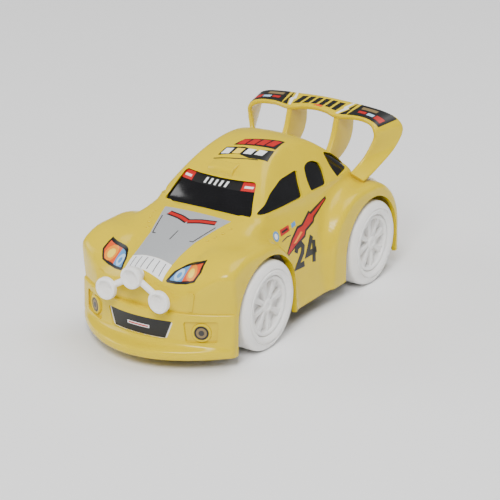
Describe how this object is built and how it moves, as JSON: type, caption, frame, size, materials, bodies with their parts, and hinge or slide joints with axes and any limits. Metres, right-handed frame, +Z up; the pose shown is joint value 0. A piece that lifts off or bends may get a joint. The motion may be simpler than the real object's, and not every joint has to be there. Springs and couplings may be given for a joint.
{
  "type": "pull back toy car",
  "caption": "Moulded pull-back toy car with a rear wing, a lamp bar, dark windows, spoked wheels on two axles and a geared spring motor under the cabin.",
  "frame": {"origin": "ground point below the centre of the bounding box", "axes": "+X is the left side of the car, -Y is the front, +Z is up"},
  "size_m": [0.08, 0.16, 0.0757],
  "materials": {
    "yellow_body": "glossy moulded yellow plastic",
    "black_glazing": "glossy black moulded plastic",
    "white_lamps": "milky translucent white plastic",
    "white_wheels": "milky translucent white plastic",
    "black_chassis": "matt black plastic",
    "grey_motor_case": "natural pale grey plastic",
    "white_gears": "natural off-white plastic",
    "steel": "plain steel wire and screws"
  },
  "bodies": {
    "body": {"body_shell": "yellow_body", "glazing_insert": "black_glazing", "rear_wing": "yellow_body", "lamp_bar": "white_lamps", "chassis_plate": "black_chassis", "motor_case_left": "grey_motor_case", "motor_case_right": "grey_motor_case", "mainspring": "steel", "chassis_screw_1": "steel", "chassis_screw_2": "steel", "chassis_screw_3": "steel", "chassis_screw_4": "steel", "motor_screw_1": "steel", "motor_screw_2": "steel", "motor_screw_3": "steel", "motor_screw_4": "steel"},
    "front_wheels": {"front_axle": "steel", "front_left_tyre": "white_wheels", "front_left_rim": "white_wheels", "front_right_tyre": "white_wheels", "front_right_rim": "white_wheels"},
    "rear_wheels": {"rear_axle": "steel", "axle_pinion": "white_gears", "rear_left_tyre": "white_wheels", "rear_left_rim": "white_wheels", "rear_right_tyre": "white_wheels", "rear_right_rim": "white_wheels"},
    "middle_gear": {"middle_gear": "white_gears"},
    "spring_gear": {"spring_gear": "white_gears"}
  },
  "joints": [
    {"name": "front_axle_spin", "type": "hinge", "parent": "body", "child": "front_wheels", "pos_m": [0, -0.0333, 0.0195], "axis": [1, 0, 0], "continuous": true},
    {"name": "rear_axle_spin", "type": "hinge", "parent": "body", "child": "rear_wheels", "pos_m": [0, 0.0532, 0.0195], "axis": [1, 0, 0], "continuous": true},
    {"name": "middle_gear_spin", "type": "hinge", "parent": "body", "child": "middle_gear", "pos_m": [0, 0.04006, 0.02302], "axis": [1, 0, 0], "continuous": true},
    {"name": "spring_gear_spin", "type": "hinge", "parent": "body", "child": "spring_gear", "pos_m": [0, 0.02693, 0.0195], "axis": [1, 0, 0], "continuous": true}
  ],
  "couplings": [
    {"joint": "middle_gear_spin", "follows": "rear_axle_spin", "ratio": -0.41667},
    {"joint": "spring_gear_spin", "follows": "rear_axle_spin", "ratio": 0.17361}
  ]
}
